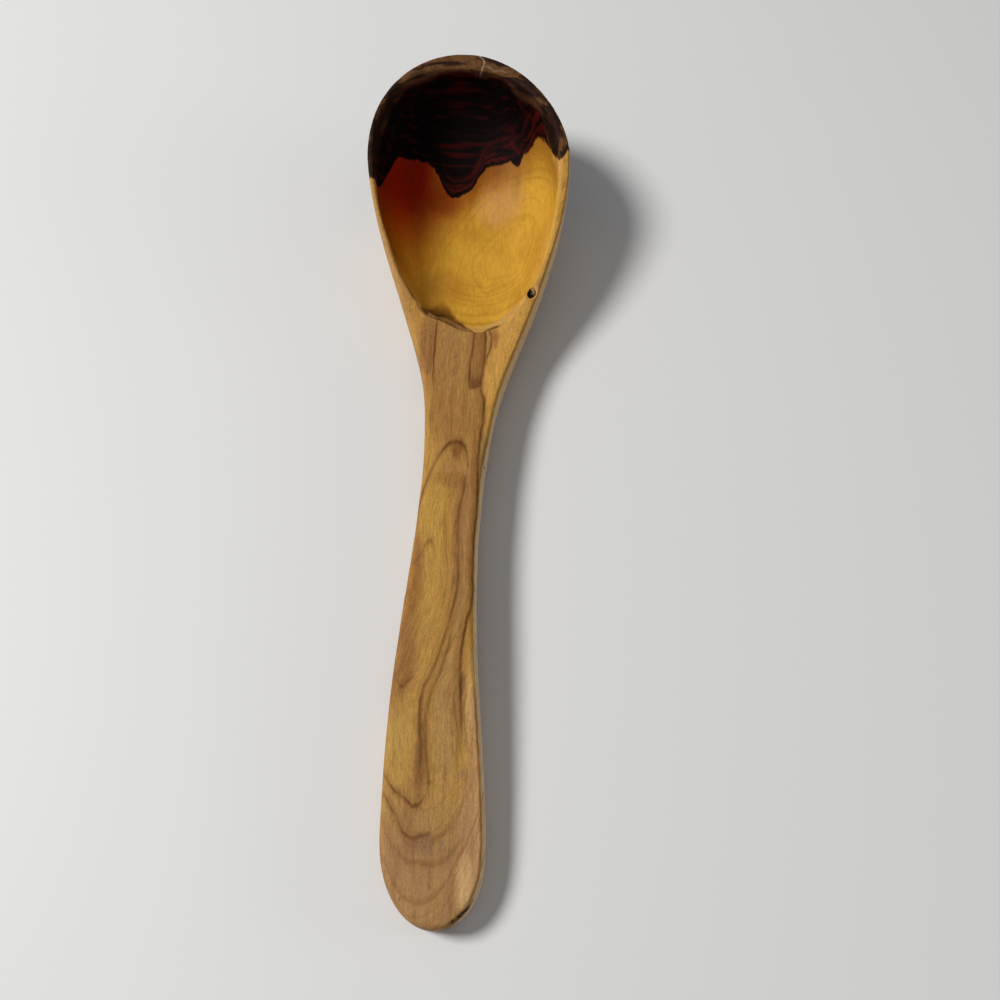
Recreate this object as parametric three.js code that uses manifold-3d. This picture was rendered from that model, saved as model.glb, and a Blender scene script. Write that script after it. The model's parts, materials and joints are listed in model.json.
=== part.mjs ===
// Wooden ladle carved from one billet of olive wood, lying at rest on its bowl and its handle's end.
// Millimetres, +Z up, +Y from the handle's end towards the bowl's tip, origin under the middle.
import * as THREE from 'three';
import { LoftGeometry } from 'three/addons/geometries/LoftGeometry.js';
import { mergeVertices } from 'three/addons/utils/BufferGeometryUtils.js';
import Module from 'manifold-3d';

// Lengths along the ladle, each starting where the one before it ends
const handleEndLength = 23; // rounded end of the handle
const handleLength = 102; // narrowing from the widest place to the neck
const neckLength = 9; // narrowest part
const shoulderLength = 126; // widening from the neck to the bowl's widest place
const tipLength = 45; // rounded far end of the bowl

// Outline seen from above
const handleWidth = 30.6;
const neckWidth = 20.4;
const throatWidth = 23.6; // where the neck opens out into the bowl's shoulders
const throatAfterNeck = 27;
const bowlWidth = 74.2;
const handleEndFullness = 2.1; // 2 is an ellipse, more is squarer
const tipFullness = 1.88;
const endFlat = 1.6; // width that is left square at the very ends

// Sideways wander of the middle line, as the carver left it
const handleEndSway = 2.1;
const handleWideSway = 0.85; // at the handle's widest place
const handleSway = -1.2;
const swayBeforeNeck = 45;
const shoulderSway = 2.2;
const swayBeforeBowl = 55;
const bowlSway = 0;
const tipSway = -3.2;

// Heights of the top face above the table
const handleEndTop = 10.8;
const handleTop = 17.2;
const levelBeforeNeck = 30; // the handle's top runs level from here
const sweepAfterNeck = 49; // the rim starts to rise here
const rimShoulderTop = 30;
const shoulderBeforeBowl = 32;
const rimSideTop = 38.6;
const rimTipTop = 43;

// Underside, with the two flats that the ladle rests on
const handleThickness = 12.8;
const neckThickness = 14.4;
const handleRestLength = 36;
const footBeforeBowl = 20;
const flatDepth = 0.35; // sanded off the bowl's and the handle's round underside
const tipWall = 5; // upright wall under the rim at the tip

// Cross-section
const handleCrown = 0.6;
const handleEdgeRadius = 2;
const rimEdgeRadius = 1.1;
const handleUndersideFullness = 6;
const bowlUndersideFullness = 2.6;

// Hollow of the bowl
const shoulderRim = 2.6;
const sideRim = 3.4;
const tipRim = 8;
const hollowAfterNeck = 60.6;
const hollowNearRound = 27; // length of the rounding at the handle's side
const hollowNearFullness = 2.3;
const hollowLean = 3; // the near end leans to the right
const leanLength = 11;
const hollowFarFullness = 2.2;
const hollowShift = -1.1; // the hollow sits off the middle line in its far half
const deepestBeforeBowl = 18;
const floorThickness = 8;
const hollowFullness = 2.3;
const rimRoll = 1.1;

// Encased knot in the middle of the rim's right side
const knotAfterHollow = 14;
const knotLength = 3.6;
const knotWidth = 2;
const knotDepth = 4;
const knotTaper = 0.75;
const knotClearance = 0.3;

// Fineness of the facets
const endSteps = 13;
const handleSteps = 24;
const shoulderSteps = 34;
const tipSteps = 21;
const undersideSteps = 14;
const edgeSteps = 4;
const faceSteps = 4;
const hollowSideSteps = 36;
const hollowRings = 18;
const rollSteps = 3;
const rollTurn = 76; // degrees, so that the rolled edge meets the rim's top at a clear angle
const knotSides = 18;

const wasm = await Module();
wasm.setup();

// A smooth curve through [distance, value] stations that never overshoots them
function curveThrough(stations) {
  const spans = stations.slice(1).map(([at, value], i) => {
    const [startAt, startValue] = stations[i];
    const length = at - startAt;
    return { startAt, startValue, value, length, slope: (value - startValue) / length };
  });
  const slopes = stations.map((station, i) => {
    const before = spans[i - 1];
    const after = spans[i];
    if (!before || !after || before.slope * after.slope <= 0) return 0;
    return 2 / (1 / before.slope + 1 / after.slope);
  });
  return (at) => {
    const found = spans.findIndex((span) => at <= span.startAt + span.length);
    const i = found < 0 ? spans.length - 1 : found;
    const { startAt, startValue, value, length } = spans[i];
    const t = THREE.MathUtils.clamp((at - startAt) / length, 0, 1);
    const blend = t * t * (3 - 2 * t);
    const lead = t * (1 - t) * (1 - t) * slopes[i] * length;
    const tail = t * t * (t - 1) * slopes[i + 1] * length;
    return startValue + (value - startValue) * blend + lead + tail;
  };
}

// Share of the full width left at a distance of 0 to 1 along a rounded end
function roundedEnd(distance, fullness) {
  const along = THREE.MathUtils.clamp(distance, 0, 1);
  return (1 - along ** fullness) ** (1 / fullness);
}

// How far a rounded edge of this radius lies under the face it ends, so near to the end
function edgeDrop(fromEnd, radius) {
  const inside = Math.max(radius - fromEnd, 0);
  return radius - Math.sqrt(radius * radius - inside * inside);
}

// Places along the ladle. A name ending in At is a distance from the handle's end.
const handleWidestAt = handleEndLength;
const neckStartAt = handleWidestAt + handleLength;
const neckEndAt = neckStartAt + neckLength;
const throatAt = neckEndAt + throatAfterNeck;
const bowlWidestAt = neckEndAt + shoulderLength;
const overallLength = bowlWidestAt + tipLength;
const handleSwayAt = neckStartAt - swayBeforeNeck;
const shoulderSwayAt = bowlWidestAt - swayBeforeBowl;
const handleLevelAt = neckStartAt - levelBeforeNeck;
const rimSweepAt = neckEndAt + sweepAfterNeck;
const rimShoulderAt = bowlWidestAt - shoulderBeforeBowl;
const footStartAt = bowlWidestAt - footBeforeBowl;
const hollowNearAt = neckEndAt + hollowAfterNeck;
const hollowDeepestAt = bowlWidestAt - deepestBeforeBowl;
const hollowFarAt = overallLength - tipRim;
const knotAt = hollowNearAt + knotAfterHollow;

const bodyHalfWidth = curveThrough([
  [handleWidestAt, handleWidth / 2],
  [neckStartAt, neckWidth / 2],
  [neckEndAt, neckWidth / 2],
  [throatAt, throatWidth / 2],
  [bowlWidestAt, bowlWidth / 2],
]);

const middleLine = curveThrough([
  [0, handleEndSway],
  [handleWidestAt, handleWideSway],
  [handleSwayAt, handleSway],
  [shoulderSwayAt, shoulderSway],
  [bowlWidestAt, bowlSway],
  [overallLength, tipSway],
]);

const topHeight = curveThrough([
  [0, handleEndTop],
  [handleLevelAt, handleTop],
  [rimSweepAt, handleTop],
  [rimShoulderAt, rimShoulderTop],
  [bowlWidestAt, rimSideTop],
  [overallLength, rimTipTop],
]);

const underHeight = curveThrough([
  [0, -flatDepth],
  [handleRestLength, -flatDepth],
  [handleLevelAt, handleTop - handleThickness],
  [neckEndAt, handleTop - neckThickness],
  [footStartAt, -flatDepth],
  [bowlWidestAt, -flatDepth],
]);

const undersideFullness = curveThrough([
  [neckEndAt, handleUndersideFullness],
  [bowlWidestAt, bowlUndersideFullness],
]);

const crownHeight = curveThrough([
  [neckEndAt, handleCrown],
  [rimSweepAt, 0],
]);

const edgeRadius = curveThrough([
  [neckEndAt, handleEdgeRadius],
  [rimShoulderAt, rimEdgeRadius],
]);

// The rounded ends take over from the curves outside the widest places
function halfWidth(at) {
  const intoEnd = (handleWidestAt - at) / handleWidestAt;
  const intoTip = (at - bowlWidestAt) / tipLength;
  const rounding = roundedEnd(intoEnd, handleEndFullness) * roundedEnd(intoTip, tipFullness);
  return Math.max(bodyHalfWidth(at) * rounding, endFlat / 2);
}

function topAt(at) {
  const drop = edgeDrop(at, handleEdgeRadius) + edgeDrop(overallLength - at, rimEdgeRadius);
  return topHeight(at) - drop;
}

function underAt(at) {
  const intoTip = (at - bowlWidestAt) / tipLength;
  const tipRise = (rimTipTop - tipWall + flatDepth) * (1 - roundedEnd(intoTip, tipFullness));
  return underHeight(at) + tipRise + edgeDrop(at, handleEdgeRadius);
}

// Distance from the handle's end to the place along Y
const alongY = (at) => at - overallLength / 2;

// One cross-section: round underside, upright sides, rounded top edges and a slightly crowned top
function bodySection(at) {
  const half = halfWidth(at);
  const top = topAt(at);
  const under = underAt(at);
  const radius = Math.min(edgeRadius(at), half / 2, (top - under) / 3);
  const side = top - radius;
  const power = 2 / undersideFullness(at);
  const crown = crownHeight(at) * (half / bodyHalfWidth(at));
  const quarter = Math.PI / 2;
  const rightSide = [];
  for (let i = 0; i < undersideSteps; i += 1) {
    const angle = (i / undersideSteps) * quarter;
    const x = half * Math.sin(angle) ** power;
    const z = side - (side - under) * Math.cos(angle) ** power;
    rightSide.push([x, z]);
  }
  for (let i = 0; i < edgeSteps; i += 1) {
    const angle = (i / edgeSteps) * quarter;
    rightSide.push([half - radius + radius * Math.cos(angle), side + radius * Math.sin(angle)]);
  }
  for (let i = 0; i <= faceSteps; i += 1) {
    const fromMiddle = 1 - i / faceSteps;
    rightSide.push([(half - radius) * fromMiddle, top + crown * (1 - fromMiddle * fromMiddle)]);
  }
  const leftSide = rightSide.slice(0, -1).map(([x, z]) => [-x, z]);
  const ring = [...leftSide, ...rightSide.slice(1).reverse()];
  return ring.map(([x, z]) => new THREE.Vector3(middleLine(at) + x, alongY(at), z));
}

// Places of the cross-sections, closer together where the outline turns
function sectionPlaces() {
  const places = [];
  for (let i = 0; i < endSteps; i += 1) {
    const turn = 1 - Math.cos((i / endSteps) * (Math.PI / 2));
    places.push(handleWidestAt * turn);
  }
  for (let i = 0; i < handleSteps; i += 1) {
    places.push(handleWidestAt + (i / handleSteps) * handleLength);
  }
  for (let i = 0; i < shoulderSteps; i += 1) {
    places.push(neckStartAt + (i / shoulderSteps) * (neckLength + shoulderLength));
  }
  for (let i = 0; i <= tipSteps; i += 1) {
    const turn = Math.sin((i / tipSteps) * (Math.PI / 2));
    places.push(bowlWidestAt + tipLength * turn);
  }
  return places;
}

const rimWidth = curveThrough([
  [rimShoulderAt, shoulderRim],
  [bowlWidestAt, sideRim],
]);
const hollowShiftAt = curveThrough([
  [hollowNearAt, hollowLean],
  [hollowNearAt + leanLength, 0],
  [bowlWidestAt, hollowShift],
]);

const hollowMiddle = (at) => middleLine(at) + hollowShiftAt(at);

// Half the width of the hollow at the rim, with its two rounded ends
function hollowHalfWidth(at) {
  const intoNear = (hollowNearAt + hollowNearRound - at) / hollowNearRound;
  const intoFar = (at - bowlWidestAt) / (hollowFarAt - bowlWidestAt);
  const near = roundedEnd(intoNear, hollowNearFullness);
  const far = roundedEnd(intoFar, hollowFarFullness);
  return (bodyHalfWidth(at) - rimWidth(at)) * near * far;
}

// The hollow's edge on the rim, once round from the near end by way of the right side
function hollowOutline() {
  const rightSide = [];
  const leftSide = [];
  for (let i = 0; i <= hollowSideSteps; i += 1) {
    const turn = (1 - Math.cos((i / hollowSideSteps) * Math.PI)) / 2;
    const at = hollowNearAt + (hollowFarAt - hollowNearAt) * turn;
    const middle = hollowMiddle(at);
    const half = hollowHalfWidth(at);
    rightSide.push(new THREE.Vector2(middle + half, at));
    if (i > 0 && i < hollowSideSteps) leftSide.unshift(new THREE.Vector2(middle - half, at));
  }
  return [...rightSide, ...leftSide];
}

// The hollow as rings that grow from the floor to the rim, roll over its edge and go on upwards
function hollowSolid() {
  const outline = hollowOutline();
  const centre = new THREE.Vector2(hollowMiddle(hollowDeepestAt), hollowDeepestAt);
  const rings = [];
  for (let i = 1; i <= hollowRings; i += 1) {
    const share = Math.sin((i / hollowRings) * (Math.PI / 2));
    const rise = 1 - roundedEnd(share, hollowFullness);
    rings.push(outline.map((edge) => {
      const place = centre.clone().lerp(edge, share);
      const rim = topHeight(edge.y) - rimRoll;
      return new THREE.Vector3(place.x, alongY(place.y), floorThickness + (rim - floorThickness) * rise);
    }));
  }
  const fullTurn = THREE.MathUtils.degToRad(rollTurn);
  for (let i = 1; i <= rollSteps + 1; i += 1) {
    const angle = Math.min(i / rollSteps, 1) * fullTurn;
    const outward = rimRoll * (1 - Math.cos(angle));
    const above = i > rollSteps ? rimTipTop : 0;
    rings.push(outline.map((edge) => {
      const away = edge.clone().sub(centre).setLength(outward).add(edge);
      const height = topHeight(away.y) - rimRoll * (1 - Math.sin(angle)) + above;
      return new THREE.Vector3(away.x, alongY(away.y), height);
    }));
  }
  return solidFrom(new LoftGeometry(rings, { capStart: true, capEnd: true }));
}

// The knot's plug, or with a clearance its pocket, square to the sloping rim
function knotPlug(clearance) {
  const depth = knotDepth + 2 * clearance;
  const unitRadius = 0.5;
  const plug = new THREE.CylinderGeometry(unitRadius, unitRadius * knotTaper, depth, knotSides);
  plug.rotateX(Math.PI / 2);
  plug.scale(knotWidth + 2 * clearance, knotLength + 2 * clearance, 1);
  plug.translate(0, 0, -knotDepth / 2);
  const rise = topHeight(knotAt + knotLength) - topHeight(knotAt - knotLength);
  plug.rotateX(Math.atan2(rise, 2 * knotLength));
  const rimOutside = middleLine(knotAt) + halfWidth(knotAt);
  const rimInside = hollowMiddle(knotAt) + hollowHalfWidth(knotAt);
  plug.translate((rimOutside + rimInside) / 2, alongY(knotAt), topHeight(knotAt));
  return plug;
}

function solidFrom(geometry) {
  const bare = new THREE.BufferGeometry();
  bare.setAttribute('position', geometry.attributes.position);
  bare.setIndex(geometry.index);
  const merged = mergeVertices(bare, 1e-4);
  const vertProperties = new Float32Array(merged.attributes.position.array);
  const triVerts = new Uint32Array(merged.index.array);
  return new wasm.Manifold(new wasm.Mesh({ numProp: 3, vertProperties, triVerts }));
}

function geometryFrom(solid) {
  const mesh = solid.getMesh();
  const geometry = new THREE.BufferGeometry();
  geometry.setAttribute('position', new THREE.BufferAttribute(mesh.vertProperties, 3));
  geometry.setIndex(new THREE.BufferAttribute(mesh.triVerts, 1));
  geometry.computeVertexNormals();
  return geometry;
}

// Everything below the table, which sands the two flats
function tableBlock() {
  const depth = 10;
  const block = new THREE.BoxGeometry(2 * bowlWidth, 2 * overallLength, depth);
  block.translate(0, 0, -depth / 2);
  return solidFrom(block);
}

function carvedBody() {
  const sections = sectionPlaces().map(bodySection);
  const billet = solidFrom(new LoftGeometry(sections, { capStart: true, capEnd: true }));
  const hollowed = billet.subtract(hollowSolid());
  const flattened = hollowed.subtract(tableBlock());
  return geometryFrom(flattened.subtract(solidFrom(knotPlug(knotClearance))));
}

const oliveWood = new THREE.MeshStandardMaterial({ color: 0xa87840, roughness: 0.5, metalness: 0 });
const knotWood = new THREE.MeshStandardMaterial({ color: 0x3a2414, roughness: 0.7, metalness: 0 });

const ladle = new THREE.Group();

const body = new THREE.Mesh(carvedBody(), oliveWood);
body.name = 'ladle_body';
ladle.add(body);

const knot = new THREE.Mesh(knotPlug(0), knotWood);
knot.name = 'rim_knot';
ladle.add(knot);

export default ladle;
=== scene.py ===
import json
from math import cos, radians, sin

import bpy
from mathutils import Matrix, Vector

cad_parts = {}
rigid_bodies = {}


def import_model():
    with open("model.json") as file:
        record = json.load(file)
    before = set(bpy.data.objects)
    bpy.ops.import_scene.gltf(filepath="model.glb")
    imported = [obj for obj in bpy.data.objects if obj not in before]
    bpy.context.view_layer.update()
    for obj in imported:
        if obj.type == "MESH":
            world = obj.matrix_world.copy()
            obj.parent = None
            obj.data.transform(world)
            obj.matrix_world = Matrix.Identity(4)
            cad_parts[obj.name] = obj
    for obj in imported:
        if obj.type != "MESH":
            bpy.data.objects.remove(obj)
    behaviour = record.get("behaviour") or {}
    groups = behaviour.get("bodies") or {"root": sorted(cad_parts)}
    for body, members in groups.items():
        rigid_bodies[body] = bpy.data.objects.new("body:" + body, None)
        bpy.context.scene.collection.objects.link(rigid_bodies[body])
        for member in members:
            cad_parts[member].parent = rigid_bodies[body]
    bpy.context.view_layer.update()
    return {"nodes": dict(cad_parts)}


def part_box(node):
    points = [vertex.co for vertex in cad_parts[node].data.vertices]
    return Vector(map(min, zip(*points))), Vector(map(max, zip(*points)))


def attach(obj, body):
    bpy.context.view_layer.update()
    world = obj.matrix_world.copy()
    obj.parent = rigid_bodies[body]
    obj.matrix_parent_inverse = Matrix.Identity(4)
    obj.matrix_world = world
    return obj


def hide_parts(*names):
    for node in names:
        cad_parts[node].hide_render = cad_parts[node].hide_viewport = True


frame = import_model()
print("frame loaded:", sorted(frame["nodes"]))


# mesh helpers

def pickOnly(piece):
    bpy.ops.object.select_all(action="DESELECT")
    piece.select_set(True)
    bpy.context.view_layer.objects.active = piece


def applyModifier(piece, kind, **settings):
    pickOnly(piece)
    modifier = piece.modifiers.new(kind.lower(), kind)
    for name, value in settings.items():
        setattr(modifier, name, value)
    bpy.ops.object.modifier_apply(modifier=modifier.name)


# material helpers

def tone(red, green, blue):
    # screen colour, 0 to 255, as the linear colour that Blender works in
    def linear(value):
        share = value / 255
        return share / 12.92 if share <= 0.04045 else ((share + 0.055) / 1.055) ** 2.4
    return (linear(red), linear(green), linear(blue), 1.0)


def addNode(tree, kind, **settings):
    node = tree.nodes.new(kind)
    for name, value in settings.items():
        setattr(node, name, value)
    return node


def feed(socket, value):
    if isinstance(value, bpy.types.NodeSocket):
        socket.id_data.links.new(value, socket)
    else:
        socket.default_value = value


def calc(operation, first, second=0.0, third=0.0):
    tree = first.id_data if isinstance(first, bpy.types.NodeSocket) else second.id_data
    node = addNode(tree, "ShaderNodeMath", operation=operation)
    for socket, value in zip(node.inputs, (first, second, third)):
        feed(socket, value)
    return node.outputs[0]


def scaled(value, factor, extra=0.0):
    return calc("MULTIPLY_ADD", value, factor, extra)


def centred(noise, amount):
    # noise from 0 to 1, as a push of up to half the amount either way
    return scaled(noise, amount, -amount / 2)


def ease(value, low, high):
    # 0 at low, 1 at high, smooth between
    node = addNode(value.id_data, "ShaderNodeMapRange", interpolation_type="SMOOTHSTEP")
    feed(node.inputs["Value"], value)
    feed(node.inputs["From Min"], low)
    feed(node.inputs["From Max"], high)
    return node.outputs["Result"]


def near(distance, width, core=0.2):
    # 1 on a line, 0 from its width on
    return ease(calc("ABSOLUTE", distance), width, core)


def allOf(*masks):
    share = masks[0]
    for mask in masks[1:]:
        share = calc("MULTIPLY", share, mask)
    return share


def follow(value, points, handle="AUTO_CLAMPED"):
    # a curve through given points, flat beyond its ends
    node = addNode(value.id_data, "ShaderNodeFloatCurve")
    node.mapping.use_clip = False
    node.mapping.extend = "HORIZONTAL"
    curve = node.mapping.curves[0]
    curve.points[0].location = points[0]
    curve.points[1].location = points[-1]
    for across, up in points[1:-1]:
        curve.points.new(across, up)
    for point in curve.points:
        point.handle_type = handle
    node.mapping.update()
    feed(node.inputs["Value"], value)
    return node.outputs["Value"]


def blend(share, first, second, mode="MIX"):
    tree = share.id_data if isinstance(share, bpy.types.NodeSocket) else first.id_data
    node = addNode(tree, "ShaderNodeMix", data_type="RGBA", blend_type=mode)
    feed(node.inputs[0], share)
    feed(node.inputs[6], first)
    feed(node.inputs[7], second)
    return node.outputs[2]


def stretch(place, amounts):
    node = addNode(place.id_data, "ShaderNodeVectorMath", operation="MULTIPLY")
    feed(node.inputs[0], place)
    feed(node.inputs[1], amounts)
    return node.outputs[0]


def join(x, y, z):
    node = addNode(x.id_data, "ShaderNodeCombineXYZ")
    for socket, value in zip(node.inputs, (x, y, z)):
        feed(socket, value)
    return node.outputs[0]


def split(place):
    node = addNode(place.id_data, "ShaderNodeSeparateXYZ")
    feed(node.inputs[0], place)
    return node.outputs


def cloud(place, amounts, detail=2.0, output="Fac"):
    # noise with its own number of waves per mm along each axis
    node = addNode(place.id_data, "ShaderNodeTexNoise")
    feed(node.inputs["Vector"], stretch(place, amounts))
    node.inputs["Scale"].default_value = 1.0
    node.inputs["Detail"].default_value = detail
    return node.outputs[output]


def rings(value, scale, detail=2.0):
    # noise along one number, for growth rings of uneven width
    node = addNode(value.id_data, "ShaderNodeTexNoise", noise_dimensions="1D")
    feed(node.inputs["W"], value)
    node.inputs["Scale"].default_value = scale
    node.inputs["Detail"].default_value = detail
    return node.outputs["Fac"]


def patch(x, y, middleX, middleY, halfX, halfY):
    # 1 in the middle of an oval, 0 just past its edge
    acrossPart = calc("POWER", scaled(x, 1 / halfX, -middleX / halfX), 2.0)
    alongPart = scaled(y, 1 / halfY, -middleY / halfY)
    return ease(scaled(alongPart, alongPart, acrossPart), 1.2, 0.0)


def newMaterial(name):
    # the material, its shader, and the place on the piece in mm
    material = bpy.data.materials.new(name)
    material.use_nodes = True
    tree = material.node_tree
    coordinates = addNode(tree, "ShaderNodeTexCoord")
    spot = stretch(coordinates.outputs["Object"], (1000, 1000, 1000))
    return material, tree.nodes["Principled BSDF"], spot


def addBump(shader, height, strength, distance):
    bump = addNode(shader.id_data, "ShaderNodeBump")
    bump.inputs["Strength"].default_value = strength
    bump.inputs["Distance"].default_value = distance
    feed(bump.inputs["Height"], height)
    feed(shader.inputs["Normal"], bump.outputs["Normal"])


# camera, at the photo's viewing angle

view = {
    "place": (0.02157, -0.16606, 0.310),
    "tilt": 26.0,  # degrees from straight down
    "turn": 2.107,
    "sensor": 36.0,
    "lens": 36.0,
}

cameraData = bpy.data.cameras.new("camera")
cameraData.sensor_width = view["sensor"]
cameraData.lens = view["lens"]
camera = bpy.data.objects.new("camera", cameraData)
camera.location = view["place"]
camera.rotation_euler = (radians(view["tilt"]), 0, radians(view["turn"]))
bpy.context.scene.collection.objects.link(camera)
bpy.context.scene.camera = camera
print("camera set")


# light: a soft box on the left, a pale card low on the right and a pale room

studio = {
    "keyPlace": (-1.28, 0.12, 1.5),
    "keySize": 0.6,
    "keyPower": 34.5,
    "fillPlace": (1.5, -0.05, 0.22),
    "fillSize": 0.8,
    "fillPower": 5.0,
    "roomColour": tone(240, 243, 250),
    "roomStrength": 0.22,
    "floorSize": 6.0,
    "floorDrop": 0.0002,
    "floorColour": tone(226, 225, 222),
    "floorRoughness": 0.6,
}

for name in ("key", "fill"):
    lampData = bpy.data.lights.new(name, "AREA")
    lampData.shape = "DISK"
    lampData.size = studio[name + "Size"]
    lampData.energy = studio[name + "Power"]
    lamp = bpy.data.objects.new(name, lampData)
    lamp.location = studio[name + "Place"]
    lamp.rotation_euler = (-lamp.location).to_track_quat("-Z", "Y").to_euler()  # aimed at the ladle
    bpy.context.scene.collection.objects.link(lamp)

room = bpy.data.worlds.new("room")
room.use_nodes = True
room.node_tree.nodes["Background"].inputs["Color"].default_value = studio["roomColour"]
room.node_tree.nodes["Background"].inputs["Strength"].default_value = studio["roomStrength"]
bpy.context.scene.world = room
bpy.context.scene.view_settings.view_transform = "Standard"

bpy.ops.object.select_all(action="DESELECT")
bpy.ops.mesh.primitive_plane_add(size=studio["floorSize"], location=(0, 0, -studio["floorDrop"]))
floor = bpy.context.object
floor.name = "floor"
floorPaint = bpy.data.materials.new("paleFloor")
floorPaint.use_nodes = True
floorShader = floorPaint.node_tree.nodes["Principled BSDF"]
floorShader.inputs["Base Color"].default_value = studio["floorColour"]
floorShader.inputs["Roughness"].default_value = studio["floorRoughness"]
floor.data.materials.append(floorPaint)
print("light and floor set")


# olive wood: lengths in mm, x across the ladle, y along it, z up

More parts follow.
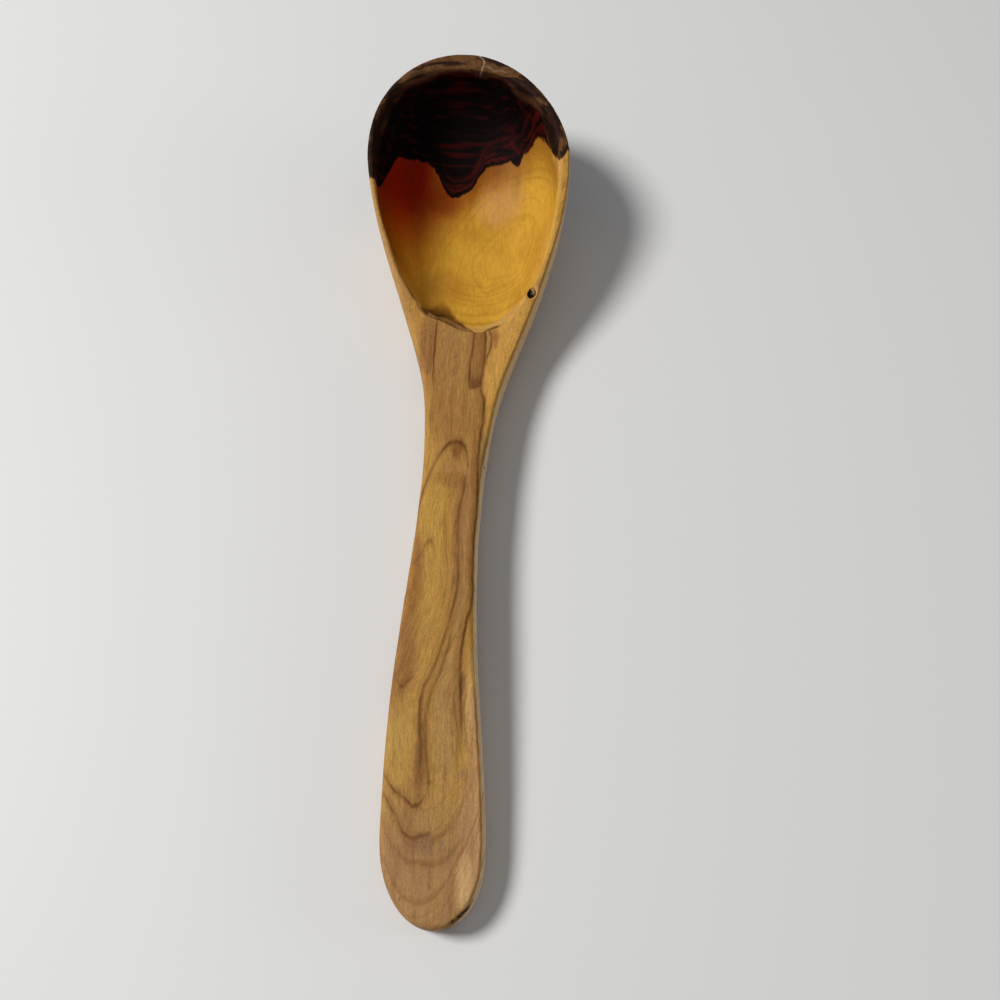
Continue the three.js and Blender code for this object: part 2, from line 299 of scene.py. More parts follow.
wood = {
    # handle and neck
    "tan": tone(166, 120, 65),
    "gold": tone(182, 138, 68),
    "brown": tone(134, 90, 47),
    "pink": tone(164, 124, 84),
    "darkLine": tone(84, 48, 20),
    "lineFlank": tone(128, 84, 42),
    "sapwood": tone(204, 152, 74),
    "neckGrey": tone(150, 118, 78),
    "panelFoot": tone(92, 56, 38),
    "lensSide": tone(150, 86, 54),
    "sideReflectedLight": tone(212, 184, 144),
    "sideShade": tone(112, 76, 24),
    "edgeHighlight": tone(206, 158, 114),
    "endMark": tone(30, 17, 7),
    "endMarkThin": tone(86, 52, 20),
    # rim and hollow
    "rimTan": tone(184, 138, 78),
    "knotHighlight": tone(206, 166, 124),
    "knotBark": tone(36, 20, 11),
    "bowl": tone(205, 153, 52),
    "bowlShade": tone(172, 119, 34),
    "bowlHighlight": tone(200, 148, 92),
    "wallRedAndShade": tone(160, 24, 3),
    "wallOliveAndShade": tone(186, 113, 6),
    "bowlBrown": tone(158, 106, 36),
    "bowlEdgeShade": tone(84, 26, 2),
    "bowlPaleHighlight": tone(220, 170, 88),
    "sill": tone(190, 150, 88),
    "leftBevel": tone(146, 108, 62),
    "rightBevel": tone(150, 104, 58),
    "lipWedge": tone(98, 56, 16),
    "stainAndShade": tone(74, 40, 14),
    # heartwood
    "heartFringeAndShade": tone(146, 76, 14),
    "heartFringeAndShadeLeft": tone(120, 26, 2),
    "heartFringeAndShadeRight": tone(112, 50, 4),
    "heart": tone(9, 3, 2),
    "heartRed": tone(58, 8, 5),
    "heartLayer": tone(70, 13, 7),
    "heartRim": tone(104, 70, 40),
    "rimDark": tone(42, 25, 17),
    "rimMottle": tone(58, 36, 24),
    "rimOutside": tone(28, 16, 11),
    "facet": tone(104, 70, 56),
    "facetEdge": tone(66, 24, 16),
    "crack": tone(214, 188, 150),

    # noise: waves per mm along x, y and z, and detail
    "waver": ((0.11, 0.04, 0.11), 2.0),
    "quiver": ((0.7, 0.25, 0.7), 2.0),
    "broad": ((0.07, 0.022, 0.07), 3.0),
    "streaks": ((0.5, 0.018, 0.3), 3.0),
    "vary": ((0.3, 0.07, 0.3), 2.0),
    "rimStreaks": ((0.05, 0.5, 0.4), 3.0),
    "rimPatches": ((0.1, 0.3, 0.3), 4.0),
    "bowlCloud": ((0.055, 0.05, 0.06), 3.0),
    "jag": ((0.45, 0.35, 0.4), 3.0),
    "flecks": ((0.05, 0.4, 0.35), 3.0),
    "layers": ((0.09, 0.55, 0.1), 3.0),
    "mottle": ((0.5, 0.5, 0.5), 4.0),
    "fibre": ((2.6, 0.2, 2.6), 3.0),
    "speckle": ((0.9, 0.22, 0.9), 3.0),
    "dots": ((2.8, 1.5, 2.8), 2.0),
    "pores": ((2.0, 0.3, 2.0), 1.0),

    # how far the two noises push the grain, and how far it leans per mm of depth
    "waverAcross": 1.2,
    "waverAlong": 4.0,
    "quiverAcross": 0.7,
    "quiverAlong": 1.6,
    "lean": 0.22,
    # heights of the top of handle and rim
    "topHeight": [(-152, 11), (-57, 17), (30, 17), (75, 30), (107, 38.5), (152, 43)],
    # the middle dark line, which the grain beside it follows
    "middleLine": [(-113, -3.5), (-104, -4), (-95, -5), (-87, -4.5), (-80, -1.5), (-72, 0.5), (-64, 2.5),
                   (-51, 4), (-42, 3.5), (-30, 3), (-20, 4), (-10, 4.5)],
    "twinLine": [(-113, -1), (-104, -2.5), (-96, -3), (-89, -2), (-81, 0.5), (-72, 2.5), (-67, 3)],
    # edge of the pale sapwood on the right
    "sapLine": [(-102, 8), (-91, 7), (-79, 6.5), (-66, 7.5), (-57, 9.3), (-50, 8.7), (-41, 8.3), (-25, 9),
                (-12, 8.4), (1, 8.8), (9, 9.5), (14, 9.4), (20, 8), (27, 8.5), (31, 8.9), (42, 8.6)],
    "edgeLine": [(-106, 7.9), (-101.5, 7.1), (-93.5, 5.5), (-87.5, 4.6)],
    "edgeTwin": [(-105.7, 10.9), (-103.5, 9.9), (-98, 9), (-92, 7.8), (-88, 8.2)],
    "neckLine": [(18, -8), (26, -8.8), (34, -8.8), (42, -8.9), (47, -8.5)],
    "panelLine": [(18, 4.1), (23, 3.9), (32, 4.1), (36, 4.6), (42, 5)],
    "lensLine": [(31, 9.3), (33, 10.1), (36, 10.6), (39, 10.7), (43, 10.3)],
    # lines along the handle: name, half width, share, start and end in y
    "longLines": [
        ("middleLine", 0.85, 0.68, -112, -14),
        ("twinLine", 0.7, 0.5, -117, -66),
        ("edgeLine", 0.7, 0.4, -105, -87),
        ("edgeTwin", 0.7, 0.4, -105, -88),
        ("neckLine", 0.55, 0.75, 21, 48),
        ("panelLine", 0.6, 0.9, 19, 48),
        ("lensLine", 0.55, 1.0, 31, 48),
    ],
    # U-shaped lines, as y along x
    "arch": [(-10.5, -31), (-9, -21.5), (-6.5, -13), (-4, -6.3), (-2.5, -3.6), (0.8, -2.2), (2.5, -3.6),
             (4, -5), (5, -11)],
    "innerArch": [(-10, -47), (-8, -43), (-5.3, -38), (-4.5, -39), (-3.9, -43.5)],
    "wedge": [(-12, -84), (-11, -86), (-9.5, -84.3), (-7.5, -82.3)],
    "arcOne": [(-15, -108), (-13, -112.5), (-10, -116.3), (-7, -118.2), (-5, -119.8), (-3.3, -119.4),
               (-2, -117.5)],
    "arcTwo": [(-13.5, -117), (-10.5, -122), (-8.5, -125), (-7, -127.3), (-3.5, -128.7), (0, -127.8)],
    "arcRight": [(0.5, -128.7), (5, -126.8), (8.2, -122.3), (9.2, -117.5), (9.6, -112)],
    "arcThree": [(-13.5, -125), (-9.5, -132), (-4.5, -135), (1, -135.5), (6, -133), (9.5, -128.5)],
    # the same five values for them, start and end in x
    "archLines": [
        ("arch", 1.6, 0.8, -10.4, 5),
        ("innerArch", 1.8, 0.4, -10, -4),
        ("wedge", 1.1, 0.6, -12, -7.5),
        ("arcOne", 1.1, 0.62, -16, -2),
        ("arcTwo", 1.1, 0.6, -13.5, 0),
        ("arcRight", 1.4, 0.3, 1, 9.2),
        ("arcThree", 1.6, 0.3, -13.5, 9.5),
    ],
    "panelSlant": -0.4,
    # faint rings at the handle's end: middle in x, bend, rings per mm
    "endRings": (-2.0, -0.1, 0.34),
    # soft patches: x, y, half width, half length, colour, share
    "patches": [
        (-4, -30, 6.5, 15, tone(186, 142, 64), 0.9),
        (-2.5, -50, 5.5, 27, tone(184, 140, 68), 0.8),
        (-6, -78, 4.5, 22, tone(180, 136, 70), 0.7),
        (-12, -75, 6, 26, tone(142, 96, 50), 0.9),
        (-10, -53, 4, 15, tone(150, 102, 46), 0.7),
        (-10, -102, 5.5, 15, tone(182, 142, 72), 0.95),
        (-3.8, -107, 2.4, 15, tone(128, 88, 52), 0.75),
        (5.5, -45, 3.2, 38, tone(170, 126, 78), 0.8),
        (3, -95, 5, 26, tone(172, 132, 80), 0.8),
        (9.9, -90, 1.7, 20, tone(210, 168, 100), 0.9),
        (-1, -16.5, 7, 3.4, tone(136, 92, 46), 0.5),
        (1.2, -5, 2.4, 5, tone(112, 70, 32), 0.7),
        (-1.2, -130.5, 7, 3.4, tone(136, 104, 80), 0.6),
        (11, -126, 4, 20, tone(180, 136, 94), 0.7),
        # pale on the right edge near the handle's end: a painted highlight
        (10.9, -141, 2.8, 10, tone(214, 174, 118), 0.9),
        (7.2, -84.5, 1.1, 4, tone(112, 76, 62), 0.7),
        (8.6, -110.6, 2.6, 1.8, tone(146, 110, 78), 0.5),
        (-11.5, 37, 3.6, 15, tone(144, 96, 58), 0.8),
        (-16, 48, 4, 11, tone(184, 134, 66), 0.8),
        (-2, 30, 7, 18, tone(160, 118, 66), 0.8),
        (-1, 8, 10, 14, tone(152, 106, 56), 0.7),
    ],

    "bowlMiddle": 100.0,
    "rimRadius": 36.0,
    "streakGrowth": 0.0045,  # streaks on the rim grow stronger along y
    # edges of the hollow, as x along y
    "hollowLeft": [(43, 1), (45, -5), (46, -9), (48, -13), (52, -16), (58, -20), (65, -24), (73, -27),
                   (80, -30), (95, -33.4), (110, -34.2), (125, -32.5), (135, -27.5), (141, -20),
                   (144, -12), (145, -4)],
    "hollowRight": [(42, 8), (43, 10), (45, 14), (48, 17), (52, 20), (59, 25.5), (64, 28), (70, 30), (77, 32),
                    (90, 33), (105, 32.4), (118, 30), (129, 25.6), (137, 18), (142, 10), (145, -4)],
    # growth rings in the hollow: slant across, bends round the eye, push by the cloud, rings per mm
    "ringEye": (17, 85),
    "ringSlant": -0.34,
    "ringBends": (0.004, -0.01, 0.007),
    "ringPush": 5.0,
    "ringScale": 0.8,
    "nearEye": 6.0,
    "nearScale": 0.42,
    # the red left wall: where its slanted edge turns, slant, push by the cloud
    "wallTurn": 85.0,
    "wallSlant": -0.3,
    "wallPush": 8.0,
    # ovals in the hollow and the neck: x, y, half width, half length
    "highlightOval": (11, 108, 11, 13),
    "brownOval": (-8, 66, 10, 13),
    "tongueOval": (-10, 109, 8, 9),
    "lensOval": (12.2, 40.0, 1.3, 5.0),
    # ragged marks under the hollow's near lip, as y along x
    "lipUpper": [(-12.5, 48), (-9.3, 51.3), (-7, 52.5), (-3.5, 51), (0.5, 48.8), (2.5, 45)],
    "lipLower": [(-9, 44.5), (-7, 46.5), (-5, 48), (-3, 47.5), (-1.5, 44.5), (0.5, 42.5)],
    "lipFoot": [(0.5, 48.3), (3, 45.8), (5, 43.7), (7, 43.6), (8.4, 45.4), (9.8, 46.6), (11.2, 47.3),
                (13, 47.6)],
    "lipSill": [(0.5, 47.5), (2.5, 48), (7, 48.7), (10, 49.6), (13.3, 51.6), (17, 54.5), (19, 56.5)],
    "lipQuiver": 1.2,
    # dark wedge above the lip: its tip, and half its width per mm
    "wedgeTip": (-7.8, 62.5),
    "wedgeSpread": 0.54,

    # where the dark heartwood begins, as y along x
    "heartEdge": [(-37, 97), (-33.7, 96), (-31.5, 110), (-29.5, 118), (-28, 121), (-21, 124), (-17.5, 124),
                  (-15, 122.5), (-13, 120), (-11.5, 116.5), (-10, 113.5), (-7.5, 111.4), (-4, 112.3),
                  (0, 115), (3, 120.5), (5, 123.2), (7.5, 124.3), (15, 124.5), (17, 122.3), (18.4, 121.2),
                  (19.1, 122.7), (20, 124.7), (22, 125), (24.5, 126.4), (26, 125.6), (28, 122.8), (30.5, 117),
                  (32.2, 110.5), (33, 105.4), (34.3, 105.6), (35.4, 107.6), (36.2, 109.5)],
    "heartJag": 2.6,
    "heartShift": -0.5,
    "heartTop": 38.0,  # below this height the edge leans outside the hollow
    "heartLean": 0.25,
    # split in the far rim and its branch
    "crackLine": [(144, 3.2), (147, 4), (149, 3.6), (150.5, 2.4)],
    "crackBranch": [(4, 146.6), (7, 145.4), (10, 144.2), (14.5, 142.8)],
    # how brown the heartwood is round the rim, and how far down its inside, from left to right
    "rimBrown": [(-36, -0.1), (-24, -0.04), (-14, 0.08), (10, 0.1), (20, 0.06), (28, 0.0), (36, -0.08)],
    "facetDepth": [(-34, 0.3), (-24, 2.6), (-18, 3.2), (-11, 1.4), (10, 1.2), (20, 4.0), (30, 3.4),
                   (34, 0.8)],
    "facetJag": 2.4,

    # beside the knot: a painted highlight on a swelling, and bark that ends on a slanted line
    "knotHighlightOval": (25.7, 57.2, 1.2, 1.8),
    "barkOval": (24.5, 55.9, 1.25, 2.1),
    "barkQuiver": 0.6,
    "barkSlant": 0.5,
    # dark mark on the handle's end: direction, and its oval in that direction
    "markLine": (0.66, 0.75),
    "markOval": (-103.6, -105.2, 5.0, 3.2),

    # surface, with the bump's distance in m
    "roughness": 0.38,
    "fibreRoughness": 0.22,
    "heartRoughness": 0.16,
    "specular": 0.05,
    "bump": 0.3,
    "bumpDistance": 0.00012,
}


def past(value, axis, name, handle="AUTO_CLAMPED"):
    # how far a value lies past one of the wood's curves
    return calc("SUBTRACT", value, follow(axis, wood[name], handle))


def paint(colour, mask, name, share=1.0):
    # one of the wood's colours over the colour so far
    if share != 1.0:
        mask = calc("MULTIPLY", mask, share)
    return blend(mask, colour, wood[name])


def makeWood():
    # limits in ease are mm along the axis it names, or levels of a noise
    material, shader, spot = newMaterial("oliveWood")
    x, y, z = split(spot)
    geometry = addNode(shader.id_data, "ShaderNodeNewGeometry")
    facing = split(geometry.outputs["Normal"])
    rightward, upward = facing[0], facing[2]

    # uneven growth: everything drawn on the handle wavers a little and leans with depth
    waver = split(cloud(spot, *wood["waver"], "Color"))
    quiver = cloud(spot, *wood["quiver"])
    depth = calc("SUBTRACT", follow(y, wood["topHeight"]), z)
    across = calc("ADD", x, centred(waver[0], wood["waverAcross"]))
    across = calc("ADD", across, centred(quiver, wood["quiverAcross"]))
    across = scaled(depth, wood["lean"], across)
    along = calc("ADD", y, centred(waver[1], wood["waverAlong"]))
    along = calc("ADD", along, centred(quiver, wood["quiverAlong"]))
    flow = join(past(across, y, "middleLine"), y, z)

    # ground tones of the handle: broad clouds, soft patches, streaks along the grain
    broad = cloud(flow, *wood["broad"])
    colour = paint(wood["tan"], ease(broad, 0.36, 0.64), "gold")
    colour = paint(colour, ease(y, -108, -136), "pink", 0.85)
    for middleX, middleY, halfX, halfY, patchColour, share in wood["patches"]:
        mask = patch(across, along, middleX, middleY, halfX, halfY)
        colour = blend(calc("MULTIPLY", mask, share), colour, patchColour)
    streaks = cloud(flow, *wood["streaks"])
    colour = paint(colour, ease(streaks, 0.5, 0.72), "brown", 0.45)
    colour = paint(colour, ease(streaks, 0.5, 0.3), "gold", 0.4)

    # pale sapwood right of its line, from the neck to the rim, and grey wood below it
    overSap = past(across, y, "sapLine")
    sapShare = allOf(ease(overSap, 0.2, 1.8), ease(y, -10, 8), ease(depth, 22, 8))
    colour = paint(colour, sapShare, "sapwood", 0.85)
    greyShare = allOf(ease(overSap, 0.1, 1.0), ease(y, 6, -8), ease(y, -52, -32))
    colour = paint(colour, greyShare, "neckGrey", 0.8)

    # right side: painted shade on its rounded edge, a painted highlight strip inside it on the lower handle,
    # a pale flank of painted reflected light
    onHandle = ease(y, 5, -25)
    shadeEdge = scaled(onHandle, -0.2, 0.5)
    sideEdge = scaled(onHandle, -0.3, 0.95)
    shadeSide = ease(calc("SUBTRACT", rightward, shadeEdge), -0.2, 0.0)
    colour = paint(colour, shadeSide, "sideShade", 0.5)
    # painted highlight: a pale strip on the right edge of the lower handle
    edgeHighlight = allOf(ease(rightward, 0.06, 0.16), ease(rightward, 0.36, 0.24),
                      ease(y, -82, -94), ease(y, -147, -138))
    colour = paint(colour, edgeHighlight, "edgeHighlight", 0.6)
    # painted reflected light: the right flank, turned from the lamp, made pale
    reflectedSide = ease(calc("SUBTRACT", rightward, sideEdge), -0.2, 0.05)
    colour = paint(colour, allOf(reflectedSide, scaled(onHandle, 0.15, 0.6)), "sideReflectedLight")

    # brown panel and pale lens in the neck
    overPanel = past(across, y, "panelLine")
    panelEnds = allOf(ease(scaled(across, wood["panelSlant"], along), 16.0, 17.4), ease(y, 44, 42))
    panel = allOf(ease(overPanel, -0.4, 0.9), ease(overSap, 0.4, -0.6), panelEnds)
    colour = paint(colour, panel, "brown", 0.4)
    colour = paint(colour, allOf(panel, ease(along, 26, 20.5)), "panelFoot", 0.75)
    overLens = past(across, y, "lensLine")
    lens = allOf(ease(overSap, 0.0, 0.8), ease(overLens, 0.0, -0.8), ease(y, 31, 34), ease(y, 44, 42))
    colour = paint(colour, lens, "rimTan", 0.7)
    colour = paint(colour, patch(across, y, *wood["lensOval"]), "lensSide", 0.65)

    # rings that close in arcs at the handle's end
    middleX, bend, ringScale = wood["endRings"]
    offMiddle = calc("SUBTRACT", across, middleX)
    arcPlace = scaled(calc("MULTIPLY", offMiddle, offMiddle), bend, along)
    arcShare = allOf(ease(rings(arcPlace, ringScale), 0.48, 0.7), ease(y, -100, -124))
    colour = paint(colour, arcShare, "brown", 0.45)

    # dark lines, each with a softer brown flank: how far the ends fade, how much varies, flank's width
    vary = ease(cloud(flow, *wood["vary"]), 0.28, 0.66)
    sapEnds = allOf(ease(y, -108, -92), ease(y, 66, 46))
    dark = allOf(near(overSap, 0.8, 0.05), sapEnds, scaled(vary, 0.4, 0.46))
    soft = allOf(near(calc("ADD", overSap, 0.8), 2.4, 0.0), sapEnds)
    for group, place, axis, before, after, varied, flank in (
        ("longLines", across, y, 3, 5, 0.7, 3.4),
        ("archLines", along, across, 1.2, 0.8, 0.6, 3.0),
    ):
        for name, width, share, start, end in wood[group]:
            off = past(place, axis, name)
            ends = allOf(ease(axis, start - before, start + after), ease(axis, end + before, end - after))
            strength = scaled(vary, varied * share, (1 - varied) * share)
            dark = calc("MAXIMUM", dark, allOf(near(off, width, 0.05), ends, strength))
            soft = calc("MAXIMUM", soft, allOf(near(off, width * flank, 0.0), ends, share))
    colour = paint(colour, soft, "lineFlank", 0.5)
    colour = paint(colour, dark, "darkLine")

    # the bowl's rim and outside, streaked round the bowl's middle
    pastMiddle = calc("SUBTRACT", y, wood["bowlMiddle"])
    radius = calc("SQRT", scaled(pastMiddle, pastMiddle, calc("MULTIPLY", x, x)))
    turn = calc("ARCTAN2", x, pastMiddle)
    rimPlace = join(calc("MULTIPLY", turn, wood["rimRadius"]), radius, z)
    colour = paint(colour, allOf(ease(y, 45, 62), ease(x, 0, -12)), "rimTan", 0.75)
    rimStreaks = cloud(rimPlace, *wood["rimStreaks"])
    streakShare = allOf(ease(y, 48, 62), ease(rimStreaks, 0.52, 0.7),
                        calc("MULTIPLY", y, wood["streakGrowth"]))
    colour = paint(colour, streakShare, "brown")

    # inside of the hollow: yellow with growth rings, finer ones at the near end
    inLeft = past(x, y, "hollowLeft")
    inRight = calc("SUBTRACT", follow(y, wood["hollowRight"]), x)
    inside = allOf(ease(inLeft, -0.3, 0.5), ease(inRight, -0.3, 0.5), ease(upward, -0.05, 0.05),
                   ease(y, 41.5, 42.5))
    bowlCloud = cloud(spot, *wood["bowlCloud"])
    hollow = paint(wood["bowl"], ease(bowlCloud, 0.42, 0.66), "bowlShade", 0.5)
    offEye = calc("SUBTRACT", x, wood["ringEye"][0])
    pastEye = calc("SUBTRACT", y, wood["ringEye"][1])
    ringPlace = scaled(x, wood["ringSlant"], z)
    pairs = ((offEye, offEye), (offEye, pastEye), (pastEye, pastEye))
    for (first, second), bend in zip(pairs, wood["ringBends"]):
        ringPlace = scaled(calc("MULTIPLY", first, second), bend, ringPlace)
    ringPlace = scaled(bowlCloud, wood["ringPush"], ringPlace)
    ringTone = rings(ringPlace, wood["ringScale"], 3.0)
    ringShare = scaled(ease(x, -16, 2), 0.25, 0.12)
    hollow = paint(hollow, allOf(ease(ringTone, 0.48, 0.72), ringShare), "bowlShade")
    offNear = calc("SUBTRACT", x, wood["nearEye"])
    nearPlace = calc("SQRT", scaled(pastEye, pastEye, calc("MULTIPLY", offNear, offNear)))
    nearTone = rings(scaled(bowlCloud, wood["ringPush"], nearPlace), wood["nearScale"])
    nearShare = allOf(ease(nearTone, 0.46, 0.62), ease(y, 76, 66), ease(x, -12, -4))
    hollow = paint(hollow, nearShare, "bowlShade", 0.38)
    # painted highlight: a pinkish pale patch where the lamp's sheen lies on the hollow's floor
    hollow = paint(hollow, allOf(patch(x, y, *wood["highlightOval"]), ringTone), "bowlHighlight")

    # the left wall, olive to red, partly its own colour and partly painted shade, with painted light halfway
    # down, and the hollow's edges
    wallPlace = scaled(calc("SUBTRACT", y, wood["wallTurn"]), wood["wallSlant"], x)
    wallPlace = scaled(bowlCloud, wood["wallPush"], wallPlace)
    # olive to red on the left wall: partly the wood's own colour, partly painted shade of the wall that faces
    # away from the lamp
    wallColourAndShade = paint(wood["wallOliveAndShade"], ease(y, 66, 106), "wallRedAndShade")
    hollow = blend(calc("MULTIPLY", ease(wallPlace, 0, -26), 0.97), hollow, wallColourAndShade)
    # painted light: the wall halfway down made lighter against the shade the lamp leaves there
    paintedWallLight = allOf(ease(inLeft, 4.5, 9), ease(inLeft, 24, 13), ease(y, 112, 88), ease(y, 52, 62), 0.45)
    hollow = blend(paintedWallLight, hollow, hollow, "ADD")
    hollow = paint(hollow, patch(x, y, *wood["brownOval"]), "bowlBrown", 0.6)
    # painted shade: a dark band down the left wall under the rim's edge
    leftEdgeShade = allOf(ease(inLeft, 5.5, 0.5), ease(y, 62, 76))
    hollow = paint(hollow, leftEdgeShade, "bowlEdgeShade", 0.6)
    # painted highlight: a pale band along the hollow's right edge
    rightEdgeHighlight = allOf(ease(inRight, 7, 1), ease(y, 58, 68), ease(y, 92, 78))
    hollow = paint(hollow, rightEdgeHighlight, "bowlPaleHighlight", 0.4)

    # the near lip: a pale sill on the right, a dark wedge, two bevels and ragged dark lines
    lipAlong = calc("ADD", y, centred(quiver, wood["lipQuiver"]))
    overSill = past(lipAlong, x, "lipSill")
    hollow = paint(hollow, allOf(ease(overSill, 1.4, -1.0), ease(x, -1, 2)), "sill", 0.7)
    overFoot = past(lipAlong, x, "lipFoot")
    rightBevel = allOf(ease(overFoot, 0.4, -0.8), ease(x, 6.5, 8.5), ease(x, 14.5, 12))
    hollow = paint(hollow, rightBevel, "rightBevel", 0.8)
    offTip = calc("ABSOLUTE", calc("SUBTRACT", x, wood["wedgeTip"][0]))
    belowTip = calc("SUBTRACT", wood["wedgeTip"][1], along)
    offWedge = scaled(belowTip, -wood["wedgeSpread"], offTip)
    hollow = paint(hollow, allOf(ease(offWedge, 1.4, -1.6), ease(along, 64, 53)), "lipWedge", 0.9)
    overUpper = past(along, x, "lipUpper")
    leftBevel = allOf(ease(overUpper, 1.0, -1.0), ease(x, 3.0, 1.0))
    hollow = paint(hollow, leftBevel, "leftBevel", 0.9)
    upperLip = allOf(near(overUpper, 2.0), ease(x, 4, 1))
    overLower = past(along, x, "lipLower")
    lowerLip = allOf(near(overLower, 1.8), ease(x, 2, 0))
    footLine = allOf(near(overFoot, 1.4), ease(x, 1.5, 3), ease(x, 15, 12))
    lipMarks = calc("MAXIMUM", calc("MAXIMUM", upperLip, lowerLip), footLine)
    hollow = paint(hollow, allOf(lipMarks, scaled(vary, 0.5, 0.45)), "stainAndShade")
    colour = blend(inside, colour, hollow)
    # painted shade: a dark line along the hollow's edge under the rim's edge, in the same colour as the
    # ragged marks
    leftLip = allOf(near(inLeft, 1.8), ease(y, 74, 58))
    rightLip = allOf(near(inRight, 1.8), ease(y, 47, 44.5))
    lipShadeLine = allOf(calc("MAXIMUM", leftLip, rightLip), ease(y, 42.4, 43.4), ease(upward, 0.0, 0.3))
    colour = paint(colour, allOf(lipShadeLine, scaled(vary, 0.45, 0.3)), "stainAndShade")

    # edge of the dark heartwood at the far end, and a darker band below it, partly the wood's own colour and
    # partly painted shade
    jag = cloud(spot, *wood["jag"])
    nearHollow = allOf(ease(inLeft, -3, -1.5), ease(inRight, -3, -1.5))
    leanShare = scaled(nearHollow, -wood["heartLean"], wood["heartLean"])
    lean = calc("MULTIPLY", calc("SUBTRACT", wood["heartTop"], z), leanShare)
    intoHeart = scaled(jag, wood["heartJag"], calc("ADD", calc("ADD", y, wood["heartShift"]), lean))
    intoHeart = past(intoHeart, x, "heartEdge", "VECTOR")
    # darker band below the heartwood's edge: partly the wood's colour, partly painted shade
    heartFringeAndShade = allOf(inside, ease(intoHeart, -16, 0), ease(x, 22, 8), ease(x, -20, -12))
    colour = paint(colour, heartFringeAndShade, "heartFringeAndShade", 0.75)
    colour = paint(colour, allOf(inside, patch(x, y, *wood["tongueOval"])), "heartFringeAndShadeLeft", 0.55)
    heartFringeAndShadeRight = allOf(inside, ease(intoHeart, -16, 1), ease(x, -6, 4))
    colour = paint(colour, heartFringeAndShadeRight, "heartFringeAndShadeRight", 0.6)

    # heartwood in the hollow: black, with red flecks and layers along its edge
    heartMask = ease(intoHeart, -0.4, 0.6)
    flecks = cloud(spot, *wood["flecks"])
    heart = paint(wood["heart"], ease(flecks, 0.5, 0.7), "heartRed", 0.7)
    layers = cloud(join(x, intoHeart, z), *wood["layers"])
    redEdge = allOf(ease(layers, 0.42, 0.66), ease(intoHeart, 13, 3), ease(x, -15, -7))
    heart = paint(heart, redEdge, "heartLayer", 0.85)
    heart = paint(heart, ease(intoHeart, 1.6, 0.2), "heart", 0.8)

    # heartwood on the rim: brown and mottled, darker outside, with a fine pale split
    rimPatches = calc("ADD", cloud(rimPlace, *wood["rimPatches"]), follow(x, wood["rimBrown"]))
    rimHeart = paint(wood["rimDark"], ease(rimPatches, 0.46, 0.57), "heartRim")
    mottle = cloud(spot, *wood["mottle"])
    rimHeart = paint(rimHeart, ease(mottle, 0.48, 0.64), "rimMottle", 0.5)
    overFacet = calc("ADD", past(depth, x, "facetDepth"), centred(jag, wood["facetJag"]))
    facet = allOf(ease(overFacet, 0.9, -0.9), ease(y, 108, 116))
    facetEdge = allOf(near(overFacet, 1.8), ease(y, 112, 120), inside)
    inner = allOf(inside, facet)
    rimHeart = paint(rimHeart, inner, "facet", 0.6)
    outer = allOf(ease(upward, 0.7, 0.3), calc("SUBTRACT", 1.0, inside))
    rimHeart = paint(rimHeart, outer, "rimOutside", 0.75)
    crack = allOf(near(past(across, y, "crackLine"), 0.45, 0.1), ease(y, 143.4, 144.4))
    branch = near(past(along, x, "crackBranch"), 0.7, 0.1)
    branch = allOf(branch, ease(x, 3, 5), ease(x, 16, 11), 0.4)
    crack = allOf(calc("MAXIMUM", crack, branch), ease(depth, 7, 4), scaled(vary, 0.35, 0.15))
    rimHeart = paint(rimHeart, crack, "crack")
    heart = blend(calc("SUBTRACT", inside, inner), rimHeart, heart)
    heart = paint(heart, facetEdge, "facetEdge", 0.55)
    colour = blend(heartMask, colour, heart)

    # a painted highlight on the swelling right of the knot, and bark left of it
    onTop = ease(upward, 0.3, 0.6)
    colour = paint(colour, allOf(patch(x, y, *wood["knotHighlightOval"]), onTop), "knotHighlight", 0.45)
    bark = patch(scaled(quiver, wood["barkQuiver"], x), y, *wood["barkOval"])
    leftOfKnot = ease(scaled(y, wood["barkSlant"], x), 53.9, 52.7)
    colour = paint(colour, allOf(ease(bark, 0.05, 0.35), leftOfKnot, onTop), "knotBark")

    # a dark mark on the rounded edge of the handle's end, thinner and browner to the right
    markX, markY = wood["markLine"]
    markAlong = scaled(x, markX, calc("MULTIPLY", y, markY))
    markAcross = scaled(x, -markY, calc("MULTIPLY", y, markX))
    mark = ease(patch(markAlong, markAcross, *wood["markOval"]), 0.02, 0.6)
    thinner = ease(markAlong, -105, -100)
    markTop = scaled(thinner, -0.2, 0.98)
    roundEdge = allOf(ease(calc("SUBTRACT", upward, markTop), 0.0, -0.14), ease(upward, 0.2, 0.5))
    markColour = paint(wood["endMark"], thinner, "endMarkThin")
    markShare = scaled(ease(mottle, 0.42, 0.56), 0.45, 0.5)
    colour = blend(allOf(mark, roundEdge, markShare), colour, markColour)

    # fibres, specks and pores all over, fainter in the smooth hollow
    fibre = cloud(flow, *wood["fibre"])
    fibreShare = scaled(inside, -0.6, scaled(ease(y, -108, -130), -0.35, 0.85))
    shade = scaled(calc("SUBTRACT", fibre, 0.5), fibreShare, 1.0)
    speckle = cloud(flow, *wood["speckle"])
    shade = scaled(calc("SUBTRACT", speckle, 0.5), 0.4, shade)
    dots = cloud(spot, *wood["dots"])
    shade = scaled(calc("SUBTRACT", dots, 0.5), scaled(inside, -0.3, 0.6), shade)
    pores = cloud(flow, *wood["pores"])
    shade = scaled(ease(pores, 0.62, 0.75), scaled(inside, 0.12, -0.18), shade)
    colour = blend(1.0, colour, join(shade, shade, shade), "MULTIPLY")
    feed(shader.inputs["Base Color"], colour)

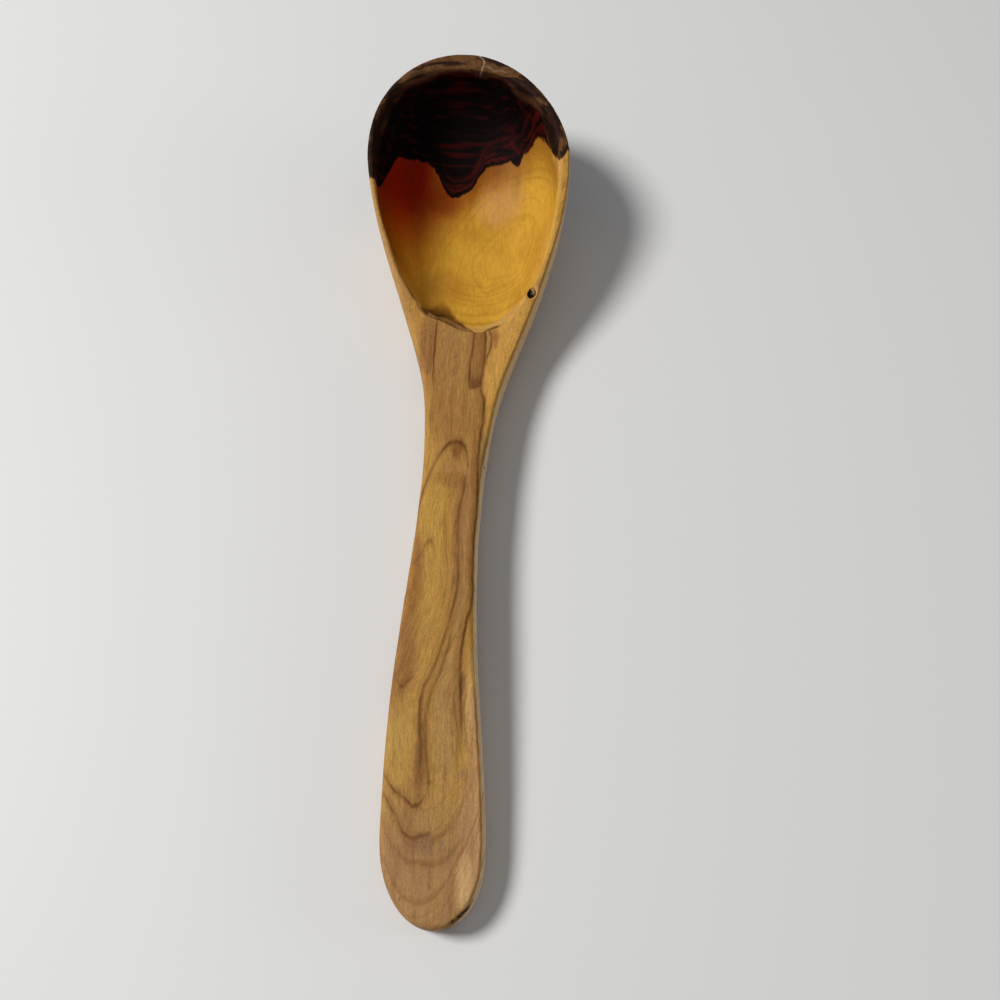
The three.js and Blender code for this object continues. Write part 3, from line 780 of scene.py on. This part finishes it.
    satin = scaled(fibre, wood["fibreRoughness"], wood["roughness"])
    feed(shader.inputs["Roughness"], scaled(heartMask, wood["heartRoughness"], satin))
    shader.inputs["Specular IOR Level"].default_value = wood["specular"]
    addBump(shader, fibre, wood["bump"], wood["bumpDistance"])
    return material


# the ladle's body, from a merged copy of its solid: lengths in m

body = {
    "merge": 1e-6,
    "voxel": 0.00072,
    "smoothing": 6,
    "smoothFactor": 0.5,
    "carvingScale": 0.016,
    "carvingDepth": 0.00022,
    "holePlace": (0.0107, -0.011, 0.0159),
    "holeLean": 50.0,  # degrees from upright
    "holeRadius": 0.0004,
    "holeDepth": 0.004,
    "holeSides": 20,
}

ladle = bpy.data.objects.new("ladle", frame["nodes"]["ladle_body"].data.copy())
bpy.context.scene.collection.objects.link(ladle)
ladle.data.materials.clear()
pickOnly(ladle)
bpy.ops.object.mode_set(mode="EDIT")
bpy.ops.mesh.select_all(action="SELECT")
bpy.ops.mesh.remove_doubles(threshold=body["merge"])
bpy.ops.object.mode_set(mode="OBJECT")
applyModifier(ladle, "REMESH", mode="VOXEL", voxel_size=body["voxel"])
applyModifier(ladle, "SMOOTH", factor=body["smoothFactor"], iterations=body["smoothing"])

# faint unevenness of hand carving
carving = bpy.data.textures.new("carving", "CLOUDS")
carving.noise_scale = body["carvingScale"]
applyModifier(ladle, "DISPLACE", texture=carving, texture_coords="LOCAL", strength=body["carvingDepth"])

# pin hole in the right side of the neck
bpy.ops.mesh.primitive_cylinder_add(vertices=body["holeSides"], radius=body["holeRadius"],
                                    depth=body["holeDepth"], location=body["holePlace"],
                                    rotation=(0, radians(body["holeLean"]), 0))
drill = bpy.context.object
applyModifier(ladle, "BOOLEAN", object=drill, operation="DIFFERENCE", solver="EXACT")
bpy.data.objects.remove(drill)

pickOnly(ladle)
bpy.ops.object.shade_smooth()
ladle.data.materials.append(makeWood())
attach(ladle, "root")
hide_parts("ladle_body")
print("ladle body:", len(ladle.data.polygons), "faces")


# the knot in the rim: the stub of a twig, with a sunken bark ring and a raised core

twig = {
    "sides": 28,
    "levels": 2,
    "seed": 4,
    "tilt": 22.0,  # degrees
    "topFacing": 0.8,
    # sizes as shares of the knot's width
    "length": 1.8,
    "depth": 2.0,
    "ringWidth": 0.22,
    "ringDrop": 0.12,
    "slopeWidth": 0.132,
    "coreRise": 0.08,
    "coreShift": 0.04,
    "unevenness": 0.06,
    # colours and surface, oval in mm from the knot's middle
    "bark": tone(24, 12, 7),
    "core": tone(176, 134, 92),
    "speck": tone(104, 84, 78),
    "speckOval": (0.0, -0.3, 0.4, 0.5),
    "soundSlant": 0.5,
    "soundGrain": 0.8,
    "grain": ((2.5, 2.5, 2.5), 3.0),
    "roughness": 0.5,
    "grainRoughness": 0.3,
    "specular": 0.18,
    "bump": 0.5,
    "bumpDistance": 0.0001,
}


def makeKnotWood(middle):
    # dark bark, with the sound core on the right and a grey speck in the middle
    material, shader, spot = newMaterial("knotWood")
    x, y = split(spot)[:2]
    grain = cloud(spot, *twig["grain"])
    fromMiddle = calc("SUBTRACT", x, 1000 * middle.x)
    upMiddle = calc("SUBTRACT", y, 1000 * middle.y)
    soundPlace = scaled(upMiddle, twig["soundSlant"], scaled(grain, twig["soundGrain"], fromMiddle))
    sound = ease(soundPlace, 0.45, 0.9)
    colour = blend(calc("MULTIPLY", sound, 0.85), twig["bark"], twig["core"])
    speck = patch(fromMiddle, upMiddle, *twig["speckOval"])
    feed(shader.inputs["Base Color"], blend(calc("MULTIPLY", speck, 0.7), colour, twig["speck"]))
    feed(shader.inputs["Roughness"], scaled(grain, twig["grainRoughness"], twig["roughness"]))
    shader.inputs["Specular IOR Level"].default_value = twig["specular"]
    addBump(shader, grain, twig["bump"], twig["bumpDistance"])
    return material


# the twig leans square to the rising rim, and its top lies flush with it
low, high = (Vector(corner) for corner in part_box("rim_knot"))
width = high.x - low.x
length, deep, tilt = twig["length"] * width, twig["depth"] * width, radians(twig["tilt"])
knotTop = Vector(((low.x + high.x) / 2, low.y + 0.5 * length * cos(tilt), high.z - 0.5 * length * sin(tilt)))
knotMiddle = knotTop - 0.5 * deep * Vector((0, -sin(tilt), cos(tilt)))
bpy.ops.object.select_all(action="DESELECT")
bpy.ops.mesh.primitive_cylinder_add(vertices=twig["sides"], radius=0.5, depth=1.0, location=knotMiddle,
                                    rotation=(tilt, 0, 0))
knot = bpy.context.object
knot.name = "knot"
knot.scale = (width, length, deep)
bpy.ops.object.transform_apply(location=True, rotation=True, scale=True)
for face in knot.data.polygons:
    face.select = face.normal.z > twig["topFacing"]
bpy.ops.object.mode_set(mode="EDIT")
bpy.ops.mesh.select_mode(type="FACE")
bpy.ops.mesh.inset(thickness=twig["ringWidth"] * width)
bpy.ops.transform.translate(value=(0, 0, -twig["ringDrop"] * width))
bpy.ops.mesh.inset(thickness=twig["slopeWidth"] * width)
bpy.ops.transform.translate(value=(twig["coreShift"] * width, 0, twig["coreRise"] * width))
bpy.ops.mesh.poke()
bpy.ops.mesh.select_all(action="SELECT")
bpy.ops.transform.vertex_random(offset=twig["unevenness"] * width, seed=twig["seed"])
bpy.ops.object.mode_set(mode="OBJECT")
applyModifier(knot, "SUBSURF", levels=twig["levels"], render_levels=twig["levels"])
pickOnly(knot)
bpy.ops.object.shade_smooth()
knot.data.materials.clear()
knot.data.materials.append(makeKnotWood(knotTop))
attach(knot, "root")
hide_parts("rim_knot")
print("knot:", len(knot.data.polygons), "faces")
